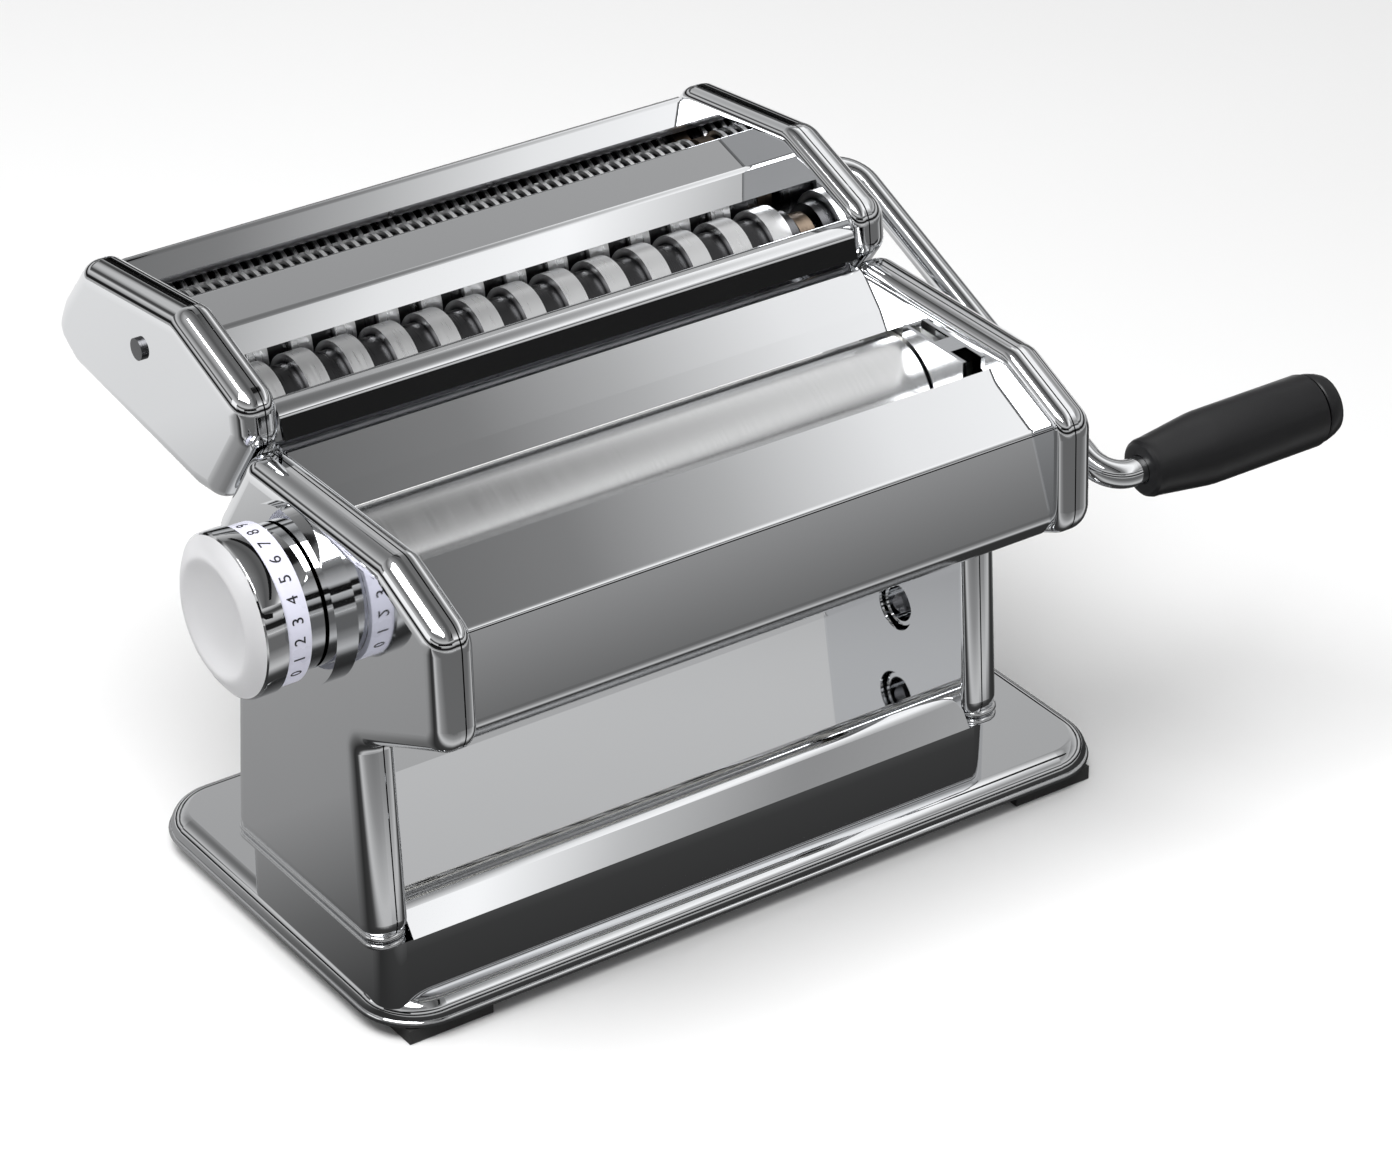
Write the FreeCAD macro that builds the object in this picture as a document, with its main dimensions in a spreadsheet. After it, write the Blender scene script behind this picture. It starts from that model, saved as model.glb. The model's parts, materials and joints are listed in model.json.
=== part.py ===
"""Hand-cranked pasta roller machine with a clip-on double cutter, in millimetres.

Frame: X runs along the rollers, positive towards the crank; Y is positive towards the back,
where the cutter hangs; Z is up. The origin is the point of the table surface halfway between
the two side frames and halfway between the front and back edges of the base.
"""
import FreeCAD
import Part
import Sketcher
import math
import os
import re

doc = FreeCAD.newDocument("pasta_machine")

# ---------------------------------------------------------------------------
# Driving dimensions: alias, value, meaning
# ---------------------------------------------------------------------------
SIZES = [
    ("half_width", 91.0, "middle of the machine to the inner face of a side frame"),
    ("rim_depth", 4.3, "depth of the rolled edge of a side frame"),
    ("seam_gap", 0.4, "dark gap between a side frame and its outer cover"),
    ("cover_depth", 7.3, "depth of an outer cover beyond the seam"),
    ("cover_round", 6.0, "radius along the edge of an outer cover"),
    ("rim_round", 3.6, "radius along the edge of a side frame"),
    ("wall", 1.0, "sheet thickness"),
    # outline of the head and leg, seen from the side
    ("nose_y", -96.5, "front of the head at its lower corner"),
    ("nose_z", 108.8, "height of the head's lower front corner"),
    ("brow_y", -95.0, "front of the head at its upper corner"),
    ("brow_z", 141.2, "height of the upper front corner"),
    ("crown_y", -70.0, "where the top of the head begins"),
    ("crown_z", 152.2, "height of the top of the head"),
    ("heel_y", -3.0, "back end of the top of the head"),
    ("back_y", 15.0, "back of the head under the cutter"),
    ("back_z", 125.0, "height where the back becomes upright"),
    ("waist_y", 9.0, "back of the leg at its narrowest"),
    ("waist_z", 76.0, "height of the leg's narrowest place"),
    ("leg_back_y", 13.0, "back of the leg at its foot"),
    ("leg_front_y", -60.0, "front of the leg at its foot"),
    ("leg_top_y", -55.6, "front of the leg under the head"),
    ("leg_top_z", 90.6, "height of the corner under the head"),
    # base
    ("left_margin", 2.0, "left edge of the base to the left cover's outer face"),
    ("right_margin", 35.4, "right cover's outer face to the right edge of the base"),
    ("base_half", 65.0, "half the depth of the base"),
    ("pad_height", 4.2, "height of the rubber feet under the base"),
    ("flange_z", 11.5, "height of the base's flange"),
    ("flange_round", 5.0, "radius of the flange's top edge"),
    ("hump_z", 30.0, "height of the raised middle of the base"),
    ("hump_margin", 3.5, "end of the base's raised middle to a cover's outer face"),
    ("hump_round", 6.5, "corner radius of the raised middle"),
    ("base_corner", 17.0, "corner radius of the base"),
    # rollers
    ("roller_r", 16.0, "radius of the smooth rollers"),
    ("roller_gap", 4.4, "end of a smooth roller to a side frame"),
    ("knob_y", -29.0, "axis of the thickness knob"),
    ("axis_z", 124.3, "height of the knob and of both smooth rollers"),
    ("eccentric", 2.27, "throw of the eccentric shaft"),
    ("mid_gap", 2.7, "gap between the rollers at the middle of the range"),
    ("journal_r", 8.0, "radius of the smooth rollers' journals"),
    ("bush_wall", 2.0, "thickness of a bush"),
    ("shaft_r", 4.0, "radius of the knob's shaft"),
    ("running", 0.05, "radial clearance of a running fit"),
    ("loose", 0.4, "clearance between pieces that must not touch"),
    ("slack", 0.3, "side clearance of the eccentric in its slot"),
    ("hex_flats", 7.0, "width across the flats of the crank's hexagon"),
    ("socket_len", 18.0, "depth of a hexagonal drive socket"),
    ("gear_addendum", 1.85, "tooth tips of the smooth rollers' gears beyond their pitch circle"),
    ("gear_dedendum", 4.35, "tooth roots of the smooth rollers' gears inside their pitch circle"),
    ("gear_width", 4.0, "width of the gears"),
    ("block_half", 12.0, "half the height and depth of a bearing block"),
    ("disc_r", 7.0, "radius of the eccentric disc"),
    # knob
    ("collar_r", 24.2, "radius of the index collar"),
    ("collar_len", 3.0, "thickness of the index collar"),
    ("waist_r", 19.6, "radius of the knob behind its number ring"),
    ("ring_r", 21.4, "radius of the number ring"),
    ("waist_len", 5.0, "length of the knob behind its number ring"),
    ("knob_r", 22.2, "radius of the knob's cap"),
    ("knob_len", 21.0, "length of the knob"),
    ("cap_len", 9.5, "length of the knob's cap"),
    ("pin_ring", 15.0, "radius of the circle of index holes"),
    ("pin_r", 1.6, "radius of the index pin"),
    ("step_angle", 15.0, "angle between two thickness settings"),
    # cutter
    ("cut_top_z", 178.2, "top of the cutter"),
    ("cut_top_y", 30.3, "where the top of the cutter begins"),
    ("cut_back_y", 100.0, "back corner of the cutter"),
    ("cut_back_z", 145.2, "height of the cutter's back corner"),
    ("cut_low_z", 129.6, "lowest corner of the cutter"),
    ("wide_y", 24.5, "axis of the visible wide cutting roller"),
    ("wide_z", 147.0, "axis of the visible wide cutting roller"),
    ("wide_clear", 1.0, "gap kept between wide rings and the other roller's core"),
    ("wide_dz", 5.0, "step up to the wide drive roller"),
    ("wide_r", 12.0, "radius of the wide cutting rings"),
    ("wide_core", 9.5, "radius between the wide cutting rings"),
    ("wide_pitch", 13.5, "pitch of the wide cutting rings"),
    ("wide_ring", 6.3, "width of a wide cutting ring"),
    ("fine_y", 69.0, "axis of the visible fine cutting roller"),
    ("fine_z", 153.0, "axis of the visible fine cutting roller"),
    ("fine_clear", 0.6, "gap kept between fine rings and the other roller's core"),
    ("fine_dz", -3.0, "step up to the fine drive roller"),
    ("fine_r", 8.3, "radius of the fine cutting rings"),
    ("fine_core", 6.6, "radius between the fine cutting rings"),
    ("fine_pitch", 3.46, "pitch of the fine cutting rings"),
    ("fine_ring", 1.25, "width of a fine cutting ring"),
    ("cutter_gap", 4.0, "end of a cutting roller to a side plate"),
    ("neck_r", 5.5, "radius of the cutting rollers' journals"),
    # crank
    ("crank_step", 23.0, "right cover's outer face to the crank's arm"),
    ("rod_r", 4.0, "radius of the crank's rod"),
    ("crank_bend", 9.0, "radius of the crank's bends"),
    ("crank_dy", -119.0, "grip axis from the crank's axis, front to back"),
    ("crank_dz", -49.0, "grip axis from the crank's axis, height"),
    ("grip_step", 12.0, "crank's arm to the inner end of the grip"),
    ("grip_r", 10.6, "radius of the grip"),
    ("grip_nose_r", 8.3, "radius of the grip's inner end"),
    ("grip_len", 60.0, "length of the grip without its end cap"),
    ("grip_cap_len", 7.0, "length of the grip's end cap"),
]

sheet = doc.addObject("Spreadsheet::Sheet", "dim")
for row, (alias, value, meaning) in enumerate(SIZES, start=1):
    sheet.set("A%d" % row, meaning)
    sheet.set("B%d" % row, str(value))
    sheet.setAlias("B%d" % row, alias)
doc.recompute()

NAMES = set(alias for alias, value, meaning in SIZES)

# places that follow from the driving dimensions, written in terms of them
DERIVED = {
    "seam": "(half_width + rim_depth + seam_gap)",
    "cover_face": "(half_width + rim_depth + seam_gap + cover_depth)",
    "front_y": "(knob_y - 2 * roller_r - mid_gap)",
    "travel": "(eccentric * 0.924)",
    "knob_in": "(half_width + rim_depth + seam_gap + cover_depth + 0.2 + collar_len + 0.6)",
    "ring_len": "(knob_len - cap_len - waist_len)",
    "gear_x": "(half_width + 4.2)",
    "gear_tip": "(roller_r + mid_gap / 2 + gear_addendum)",
    "gear_root": "(roller_r + mid_gap / 2 - gear_dedendum)",
    "base_left": "(cover_face - left_margin)",
    "base_right": "(cover_face + right_margin)",
    "hump_half": "(cover_face - hump_margin)",
    "roller_half": "(half_width - roller_gap)",
    "cutter_half": "(half_width - cutter_gap)",
    "crank_x": "(cover_face + crank_step)",
    "grip_x": "(crank_x + grip_step)",
    "wide_dy": "(wide_r + wide_core + wide_clear)",
    "fine_dy": "(fine_r + fine_core + fine_clear)",
    "wide_span": "sqrt(wide_dy * wide_dy + wide_dz * wide_dz)",
    "fine_span": "sqrt(fine_dy * fine_dy + fine_dz * fine_dz)",
    "wide_in_y": "(wide_y + wide_dy)",
    "wide_in_z": "(wide_z + wide_dz)",
    "fine_in_y": "(fine_y + fine_dy)",
    "fine_in_z": "(fine_z + fine_dz)",
}


def full(text):
    """Write an expression with every size's name pointing at the sheet."""
    text = str(text)
    while any(re.search(r"\b%s\b" % name, text) for name in DERIVED):
        for name, meaning in DERIVED.items():
            text = re.sub(r"\b%s\b" % name, meaning, text)
    return re.sub(r"\b[a-z_]+\b", lambda word: "dim." + word.group(0)
                  if word.group(0) in NAMES else word.group(0), text)


def num(text):
    """The present value of an expression."""
    found = sheet.evalExpression(full(text))
    return float(getattr(found, "Value", found))


def bind(thing, path, text):
    thing.setExpression(path, full(text))


NODES = {}


def keep(name, thing):
    """Make an object the finished sub-part of that name."""
    thing.Label = name
    NODES[name] = thing
    return thing


# ---------------------------------------------------------------------------
# Sketches and PartDesign bodies
# ---------------------------------------------------------------------------
def origin_feature(body, role):
    for feature in body.Origin.OriginFeatures:
        if feature.Role == role:
            return feature
    raise ValueError(role)


def new_body(name, y=None, z=None, x=None):
    body = doc.addObject("PartDesign::Body", name + "_body")
    for axis, text in (("x", x), ("y", y), ("z", z)):
        if text is not None:
            bind(body, "Placement.Base." + axis, text)
    return body


def new_sketch(body, plane, offset=None):
    sketch = body.newObject("Sketcher::SketchObject", "Sketch")
    sketch.AttachmentSupport = [(origin_feature(body, plane), "")]
    sketch.MapMode = "FlatFace"
    if offset is not None:
        bind(sketch, "AttachmentOffset.Base.z", offset)
    return sketch


def pin_point(sketch, item, end, place):
    """Fix a sketch point by its two distances from the origin, bound to the sheet."""
    for kind, line, text in (("DistanceX", -2, place[0]), ("DistanceY", -1, place[1])):
        value = num(text)
        if abs(value) < 1e-9:
            sketch.addConstraint(Sketcher.Constraint("PointOnObject", item, end, line))
            continue
        index = sketch.addConstraint(Sketcher.Constraint(kind, -1, 1, item, end, value))
        bind(sketch, "Constraints[%d]" % index, text)


def draw_polygon(sketch, points):
    first = sketch.GeometryCount
    places = [FreeCAD.Vector(num(across), num(up), 0) for across, up in points]
    count = len(points)
    for index in range(count):
        sketch.addGeometry(Part.LineSegment(places[index], places[(index + 1) % count]), False)
    for index in range(count):
        following = first + (index + 1) % count
        sketch.addConstraint(Sketcher.Constraint("Coincident", first + index, 2, following, 1))
    for index, place in enumerate(points):
        pin_point(sketch, first + index, 1, place)


def draw_circle(sketch, across, up, radius):
    centre = FreeCAD.Vector(num(across), num(up), 0)
    item = sketch.addGeometry(Part.Circle(centre, FreeCAD.Vector(0, 0, 1), num(radius)), False)
    index = sketch.addConstraint(Sketcher.Constraint("Radius", item, num(radius)))
    bind(sketch, "Constraints[%d]" % index, radius)
    pin_point(sketch, item, 3, (across, up))


def pad(body, sketch, length, reverse=False, middle=False):
    feature = body.newObject("PartDesign::Pad", "Pad")
    feature.Profile = sketch
    feature.Reversed = reverse
    feature.Midplane = middle
    bind(feature, "Length", length)
    doc.recompute()
    return feature


def drill(body, circles=(), polygons=()):
    """Cut round and straight-sided holes right through, along X."""
    before = body.Shape.Volume
    sketch = new_sketch(body, "YZ_Plane")
    for across, up, radius in circles:
        draw_circle(sketch, across, up, radius)
    for points in polygons:
        draw_polygon(sketch, points)
    feature = body.newObject("PartDesign::Pocket", "Pocket")
    feature.Profile = sketch
    feature.Midplane = True
    bind(feature, "Length", "6 * half_width")
    doc.recompute()
    if not body.Shape.Volume < before - 0.5:
        raise ValueError("a hole in %s cuts nothing" % body.Name)
    return feature


def edges_where(shape, test):
    return ["Edge%d" % (index + 1) for index, edge in enumerate(shape.Edges) if test(edge)]


def faces_where(shape, test):
    return ["Face%d" % (index + 1) for index, face in enumerate(shape.Faces) if test(face)]


def fillet(body, edges, radius):
    base = body.Tip
    feature = body.newObject("PartDesign::Fillet", "Fillet")
    feature.Base = (base, edges)
    bind(feature, "Radius", radius)
    doc.recompute()
    return feature


def round_bends(body, points, radii):
    """Round the edges along X that stand at the outline's corners."""
    for text in sorted(set(radii.values())):
        places = [(num(points[corner][0]), num(points[corner][1]))
                  for corner, radius in radii.items() if radius == text]

        def stands(edge):
            if len(edge.Vertexes) != 2:
                return False
            one, two = edge.Vertexes[0].Point, edge.Vertexes[1].Point
            if abs(one.x - two.x) < 0.5 or math.hypot(one.y - two.y, one.z - two.z) > 0.01:
                return False
            return any(math.hypot(one.y - y, one.z - z) < 0.02 for y, z in places)

        names = edges_where(body.Shape, stands)
        if len(names) != len(places):
            raise ValueError("corners of %s: %d of %d" % (body.Name, len(names), len(places)))
        fillet(body, names, text)


def hollow(body, faces, thickness):
    """Leave a sheet of this thickness inside the form, open at the named faces."""
    before = body.Shape.Volume
    base = body.Tip
    feature = body.newObject("PartDesign::Thickness", "Thickness")
    feature.Base = (base, faces)
    feature.Mode = 0
    feature.Join = 0
    feature.Reversed = True
    bind(feature, "Value", thickness)
    doc.recompute()
    if not 0 < body.Shape.Volume < before:
        raise ValueError("%s is not a thin sheet" % body.Name)
    return feature


def folded_sheet(name, points, kept, radii, half_length):
    """A sheet folded along X: the first kept runs of the outline stay, the others are open."""
    body = new_body(name)
    sketch = new_sketch(body, "YZ_Plane")
    draw_polygon(sketch, points)
    pad(body, sketch, "2 * (%s)" % half_length, middle=True)
    places = [(num(across), num(up)) for across, up in points]
    openings = []
    for index in range(kept, len(points)):
        one = places[index]
        two = places[(index + 1) % len(points)]
        openings.append(((one[0] + two[0]) / 2, (one[1] + two[1]) / 2))
    round_bends(body, points, radii)
    end = num(half_length)

    def is_open(face):
        middle = face.CenterOfMass
        if abs(abs(middle.x) - end) < 0.01:
            return True
        if face.Surface.TypeId != "Part::GeomPlane":
            return False
        return any(math.hypot(middle.y - y, middle.z - z) < 0.3 for y, z in openings)

    hollow(body, faces_where(body.Shape, is_open), "wall")
    return keep(name, body)


def drawn_shell(name, points, radii, face_x, depth, edge_round, side, outwards):
    """A pressed shell with a flat face, rounded edges and an open back."""
    body = new_body(name)
    sketch = new_sketch(body, "YZ_Plane", face_x if side > 0 else "-(%s)" % face_x)
    draw_polygon(sketch, points)
    pad(body, sketch, depth, reverse=(side > 0) == outwards)
    round_bends(body, points, radii)
    face_at = side * num(face_x)
    rim = edges_where(body.Shape, lambda edge: all(
        abs(point.Point.x - face_at) < 0.01 for point in edge.Vertexes))
    fillet(body, rim, edge_round)
    back_at = face_at - side * num(depth) * (1 if outwards else -1)
    back = faces_where(body.Shape, lambda face: abs(face.CenterOfMass.x - back_at) < 0.01
                       and face.Surface.TypeId == "Part::GeomPlane")
    hollow(body, back, "wall")
    return keep(name, body)


def turned(name, points, y, z):
    """A solid turned about an axis along X: points are (along, radius)."""
    body = new_body(name, y, z)
    sketch = new_sketch(body, "XY_Plane")
    draw_polygon(sketch, points)
    feature = body.newObject("PartDesign::Revolution", "Revolution")
    feature.Profile = sketch
    feature.ReferenceAxis = (origin_feature(body, "X_Axis"), [""])
    feature.Angle = 360.0
    doc.recompute()
    return body


def pattern_along_x(body, feature, spacing, count):
    pattern = body.newObject("PartDesign::LinearPattern", "LinearPattern")
    pattern.Originals = [feature]
    pattern.Direction = (origin_feature(body, "X_Axis"), [""])
    bind(pattern, "Length", "(%s) * %d" % (spacing, count - 1))
    pattern.Occurrences = count
    body.Tip = pattern
    doc.recompute()
    return pattern


def pattern_round_x(body, feature, count):
    pattern = body.newObject("PartDesign::PolarPattern", "PolarPattern")
    pattern.Originals = [feature]
    pattern.Axis = (origin_feature(body, "X_Axis"), [""])
    pattern.Angle = 360.0
    pattern.Occurrences = count
    body.Tip = pattern
    doc.recompute()
    return pattern


# ---------------------------------------------------------------------------
# Part primitives
# ---------------------------------------------------------------------------
ALONG_X = FreeCAD.Rotation(FreeCAD.Vector(0, 1, 0), 90)


def place(thing, x, y, z):
    for axis, text in (("x", x), ("y", y), ("z", z)):
        bind(thing, "Placement.Base." + axis, text)


def rod(radius, x, length, y, z):
    """A cylinder along X that starts at x."""
    thing = doc.addObject("Part::Cylinder", "Rod")
    thing.Placement.Rotation = ALONG_X
    bind(thing, "Radius", radius)
    bind(thing, "Height", length)
    place(thing, x, y, z)
    return thing


def box(x, y, z, length, width, height):
    thing = doc.addObject("Part::Box", "Box")
    bind(thing, "Length", length)
    bind(thing, "Width", width)
    bind(thing, "Height", height)
    place(thing, x, y, z)
    return thing


def hexagon(flats, x, length, y, z):
    """A hexagonal bar along X."""
    thing = doc.addObject("Part::Prism", "Hexagon")
    thing.Polygon = 6
    thing.Placement.Rotation = ALONG_X
    bind(thing, "Circumradius", "(%s) / sqrt(3)" % flats)
    bind(thing, "Height", length)
    place(thing, x, y, z)
    return thing


def fuse(*things):
    whole = doc.addObject("Part::MultiFuse", "Fusion")
    whole.Shapes = list(things)
    doc.recompute()
    return whole


def cut(base, *tools):
    tool = tools[0] if len(tools) == 1 else fuse(*tools)
    whole = doc.addObject("Part::Cut", "Cut")
    whole.Base = base
    whole.Tool = tool
    doc.recompute()
    return whole


def group(*things):
    """Like pieces that share one node, as separate solids."""
    whole = doc.addObject("Part::Compound", "Group")
    whole.Links = list(things)
    doc.recompute()
    return whole


# ---------------------------------------------------------------------------
# Base
# ---------------------------------------------------------------------------
def base_form(inset, floor):
    """The flange and the flared middle of the base as one solid, inset from the outside."""
    flange = box("-(base_left - %s)" % inset, "-(base_half - %s)" % inset, floor,
                 "base_left + base_right - 2 * %s" % inset, "2 * (base_half - %s)" % inset,
                 "flange_z - %s - (%s)" % (inset, floor))
    doc.recompute()
    rounded = doc.addObject("Part::Fillet", "Fillet")
    rounded.Base = flange
    corner = num("base_corner - %s" % inset)
    uprights = [index + 1 for index, edge in enumerate(flange.Shape.Edges)
                if abs(edge.Vertexes[0].Z - edge.Vertexes[1].Z) > 1]
    rounded.Edges = [(index, corner, corner) for index in uprights]
    doc.recompute()
    softened = doc.addObject("Part::Fillet", "Fillet")
    softened.Base = rounded
    top_z = num("flange_z - %s" % inset)
    edge_r = num("flange_round - %s" % inset)
    tops = [index + 1 for index, edge in enumerate(rounded.Shape.Edges)
            if all(abs(vertex.Z - top_z) < 0.01 for vertex in edge.Vertexes)]
    softened.Edges = [(index, edge_r, edge_r) for index in tops]
    doc.recompute()
    block = box("-(hump_half - %s)" % inset, "leg_front_y + 0.4 + %s" % inset,
                "flange_z - 2 * wall - %s" % inset, "2 * (hump_half - %s)" % inset,
                "leg_back_y - leg_front_y - 0.8 - 2 * %s" % inset, "hump_z - flange_z + 2 * wall")
    doc.recompute()
    hump = doc.addObject("Part::Fillet", "Fillet")
    hump.Base = block
    hump_r = num("hump_round - %s" % inset)
    uprights = [index + 1 for index, edge in enumerate(block.Shape.Edges)
                if abs(edge.Vertexes[0].Z - edge.Vertexes[1].Z) > 1]
    hump.Edges = [(index, hump_r, hump_r) for index in uprights]
    doc.recompute()
    return fuse(softened, hump)


outer_base = base_form("0", "pad_height")
inner_base = base_form("wall", "pad_height - 1")
clamp_slot = box("-(hump_half + 5)", "-26", "hump_z - 4.6", "9", "12.5", "4.7")
keep("base_tray", cut(outer_base, inner_base, clamp_slot))

feet = []
for side_x in ("-(base_left - 6)", "base_right - 6 - 26"):
    for side_y in ("-(base_half - 2)", "base_half - 2 - 12"):
        feet.append(box(side_x, side_y, "0", "26", "12", "pad_height - 0.05"))
keep("rubber_feet", group(*feet))

# ---------------------------------------------------------------------------
# Side frames and outer covers: the same outline, pressed inwards and outwards
# ---------------------------------------------------------------------------
BODY_OUTLINE = [
    ("brow_y", "brow_z"), ("crown_y", "crown_z"), ("heel_y", "crown_z - 0.4"),
    ("back_y", "back_z"), ("waist_y", "waist_z"), ("leg_back_y", "hump_z"),
    ("leg_front_y", "hump_z"), ("leg_top_y", "leg_top_z"), ("nose_y", "nose_z"),
]
BODY_ROUNDS = {0: "8", 1: "8", 2: "7", 3: "8", 4: "30", 5: "6.5", 6: "6.5", 7: "4", 8: "9"}

for name, side in (("left_frame", -1), ("right_frame", 1)):
    drawn_shell(name, BODY_OUTLINE, BODY_ROUNDS, "half_width", "rim_depth", "rim_round",
                side, False)
for name, side in (("left_cover", -1), ("right_cover", 1)):
    drawn_shell(name, BODY_OUTLINE, BODY_ROUNDS, "cover_face", "cover_depth", "cover_round",
                side, True)

TIE_PLACES = [("nose_y + 14.6", "nose_z + 1.6"), ("back_y - 14.5", "back_z + 3")]
PORT = ("leg_top_y + 31", "hump_z + 22.8")
WINDOW_Y = "block_half + travel + loose"
WINDOW_Z = "block_half + 0.1"
BLOCK_WINDOW = [("knob_y - (%s)" % WINDOW_Y, "axis_z - (%s)" % WINDOW_Z),
                ("knob_y + %s" % WINDOW_Y, "axis_z - (%s)" % WINDOW_Z),
                ("knob_y + %s" % WINDOW_Y, "axis_z + %s" % WINDOW_Z),
                ("knob_y - (%s)" % WINDOW_Y, "axis_z + %s" % WINDOW_Z)]

# holes: front roller bush, tie rods, the round port low in the leg, the moving bearing block
frame_holes = [("front_y", "axis_z", "journal_r + bush_wall"), PORT + ("7.6",)]
frame_holes += [(y, z, "2.25") for y, z in TIE_PLACES]
drill(NODES["left_frame"], frame_holes, [BLOCK_WINDOW])
drill(NODES["right_frame"], frame_holes, [BLOCK_WINDOW])
drill(NODES["left_cover"], [("knob_y", "axis_z", "shaft_r + 3")])
drill(NODES["right_cover"], [("front_y", "axis_z", "hex_flats / 2 + 3")])

rods = []
nuts = []
for y, z in TIE_PLACES:
    middle = rod("3", "-half_width", "2 * half_width", y, z)
    thread = rod("2.2", "-(half_width + 3.9)", "2 * half_width + 7.8", y, z)
    rods.append(fuse(middle, thread))
    for x in ("-(half_width + wall) - 2.6", "half_width + wall"):
        nuts.append(cut(hexagon("7", x, "2.6", y, z), rod("2.25", x + " - 1", "5", y, z)))
keep("tie_rods", group(*rods))
keep("tie_nuts", group(*nuts))

# a steel cup inside each round port reaches the outer cover, with a screw in its floor
cups = []
screws = []
for side in (-1, 1):
    floor = "-(cover_face - wall)" if side < 0 else "cover_face - wall - 1.2"
    inner = "-(cover_face - wall - 1.2)" if side < 0 else "half_width"
    cup = rod("6.6", "-(cover_face - wall)" if side < 0 else "half_width + 1.6",
              "cover_face - wall - half_width - 1.6", *PORT)
    bore = rod("5.4", inner, "cover_face - wall - 1.2 - half_width", *PORT)
    cups.append(cut(cup, bore))
    head = "-(cover_face - wall - 1.2)" if side < 0 else "cover_face - wall - 3.2"
    screws.append(rod("2.8", head, "2", *PORT))
keep("port_cups", group(*cups))
keep("cover_screws", group(*screws))

# ---------------------------------------------------------------------------
# Sheets between the frames
# ---------------------------------------------------------------------------
folded_sheet("slide_tray", [
    ("leg_back_y - 10", "hump_z + 6.5"), ("leg_front_y + 7", "hump_z + 9.6"),
    ("leg_front_y", "hump_z + 0.1"), ("leg_front_y + 4", "hump_z"),
    ("leg_back_y - 10", "hump_z")], 2, {1: "7"}, "half_width")

folded_sheet("front_cover", [
    ("crown_y + 4", "crown_z - 5.9"), ("brow_y + 8.2", "brow_z - 4.5"),
    ("nose_y + 4", "nose_z + 3.2"), ("nose_y + 8", "nose_z - 2.8"),
    ("nose_y + 16.7", "nose_z - 8.2"), ("crown_y", "nose_z - 2")], 4,
    {1: "2.5", 2: "4", 3: "4"}, "half_width")

HOPPER_LIP = "axis_z + roller_r + 0.6"
folded_sheet("hopper_plate", [
    ("heel_y + 5", "crown_z - 14"), ("heel_y + 5", "crown_z - 1.7"),
    ("heel_y - 2", "crown_z - 2.2"), ("knob_y + 10.8", "crown_z - 7.8"),
    ("knob_y + 4.3", HOPPER_LIP), ("knob_y + 9", "%s - 2.6" % HOPPER_LIP)], 4,
    {1: "1.5", 2: "1.5"}, "half_width")


def strip(name, points, half_length):
    """A solid bar of this outline along X."""
    body = new_body(name)
    sketch = new_sketch(body, "YZ_Plane")
    draw_polygon(sketch, points)
    pad(body, sketch, "2 * (%s)" % half_length, middle=True)
    return keep(name, body)


# ---------------------------------------------------------------------------
# Dough guards and scrapers
# ---------------------------------------------------------------------------
for name, x, strut_x in (("left_guard", "-(roller_half + 1.9)", "-half_width"),
                         ("right_guard", "roller_half + 0.7", "roller_half + 1.9")):
    plate = box(x, "front_y + 7", "axis_z - 6", "1.2", "knob_y - front_y - 8", "26.3")
    strut = box(strut_x, "front_y + 14", "axis_z + 15.3", "half_width - roller_half - 1.9", "7", "5")
    clear_front = rod("journal_r + 1", x + " - 1", "3.5", "front_y", "axis_z")
    clear_rear = rod("journal_r + travel + 1", x + " - 1", "3.5", "knob_y", "axis_z")
    keep(name, fuse(cut(plate, clear_front, clear_rear), strut))

strip("front_scraper", [
    ("front_y - 18.3", "axis_z - 19"), ("front_y - 17.8", "axis_z - 20"),
    ("front_y - 8.4", "axis_z - 14.3"), ("front_y - 9.4", "axis_z - 13.7")], "half_width")
SCRAPER_REACH = "roller_half + 2.1"
strip("rear_scraper", [
    ("knob_y + 18.2", "axis_z - 20"), ("knob_y + 19.2", "axis_z - 19"),
    ("knob_y + 9.6", "axis_z - 13.3"), ("knob_y + 8.9", "axis_z - 14.1")], SCRAPER_REACH)

# ---------------------------------------------------------------------------
# Smooth rollers, their bearings and gears
# ---------------------------------------------------------------------------
def barrel(name, left_end, right_end, journal, y, z):
    """A roller with a turned-down journal at each end."""
    return turned(name, [
        ("-(%s)" % left_end, "0"), ("-(%s)" % left_end, journal),
        ("-roller_half", journal), ("-roller_half", "roller_r"),
        ("roller_half", "roller_r"), ("roller_half", journal),
        (right_end, journal), (right_end, "0")], y, z)


SOCKET_END = "cover_face - 1.6"
front_form = barrel("front_roller", "half_width + 3.6", SOCKET_END, "journal_r", "front_y", "axis_z")
front_socket = hexagon("hex_flats + 0.2", "%s - socket_len" % SOCKET_END, "socket_len + 1",
                       "front_y", "axis_z")
keep("front_roller", cut(front_form, front_socket))
keep("rear_roller", barrel("rear_roller", "half_width - 0.5", "gear_x + gear_width",
                           "journal_r", "knob_y", "axis_z"))


def bush(x, length, bore, y, z, width="bush_wall"):
    return cut(rod("%s + %s" % (bore, width), x, length, y, z),
               rod("%s + running" % bore, "%s - 1" % x, "%s + 2" % length, y, z))


keep("roller_bushes", group(
    bush("-(half_width + 3.2)", "5.4", "journal_r", "front_y", "axis_z"),
    bush("half_width - 2.2", "5.4", "journal_r", "front_y", "axis_z")))

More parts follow.
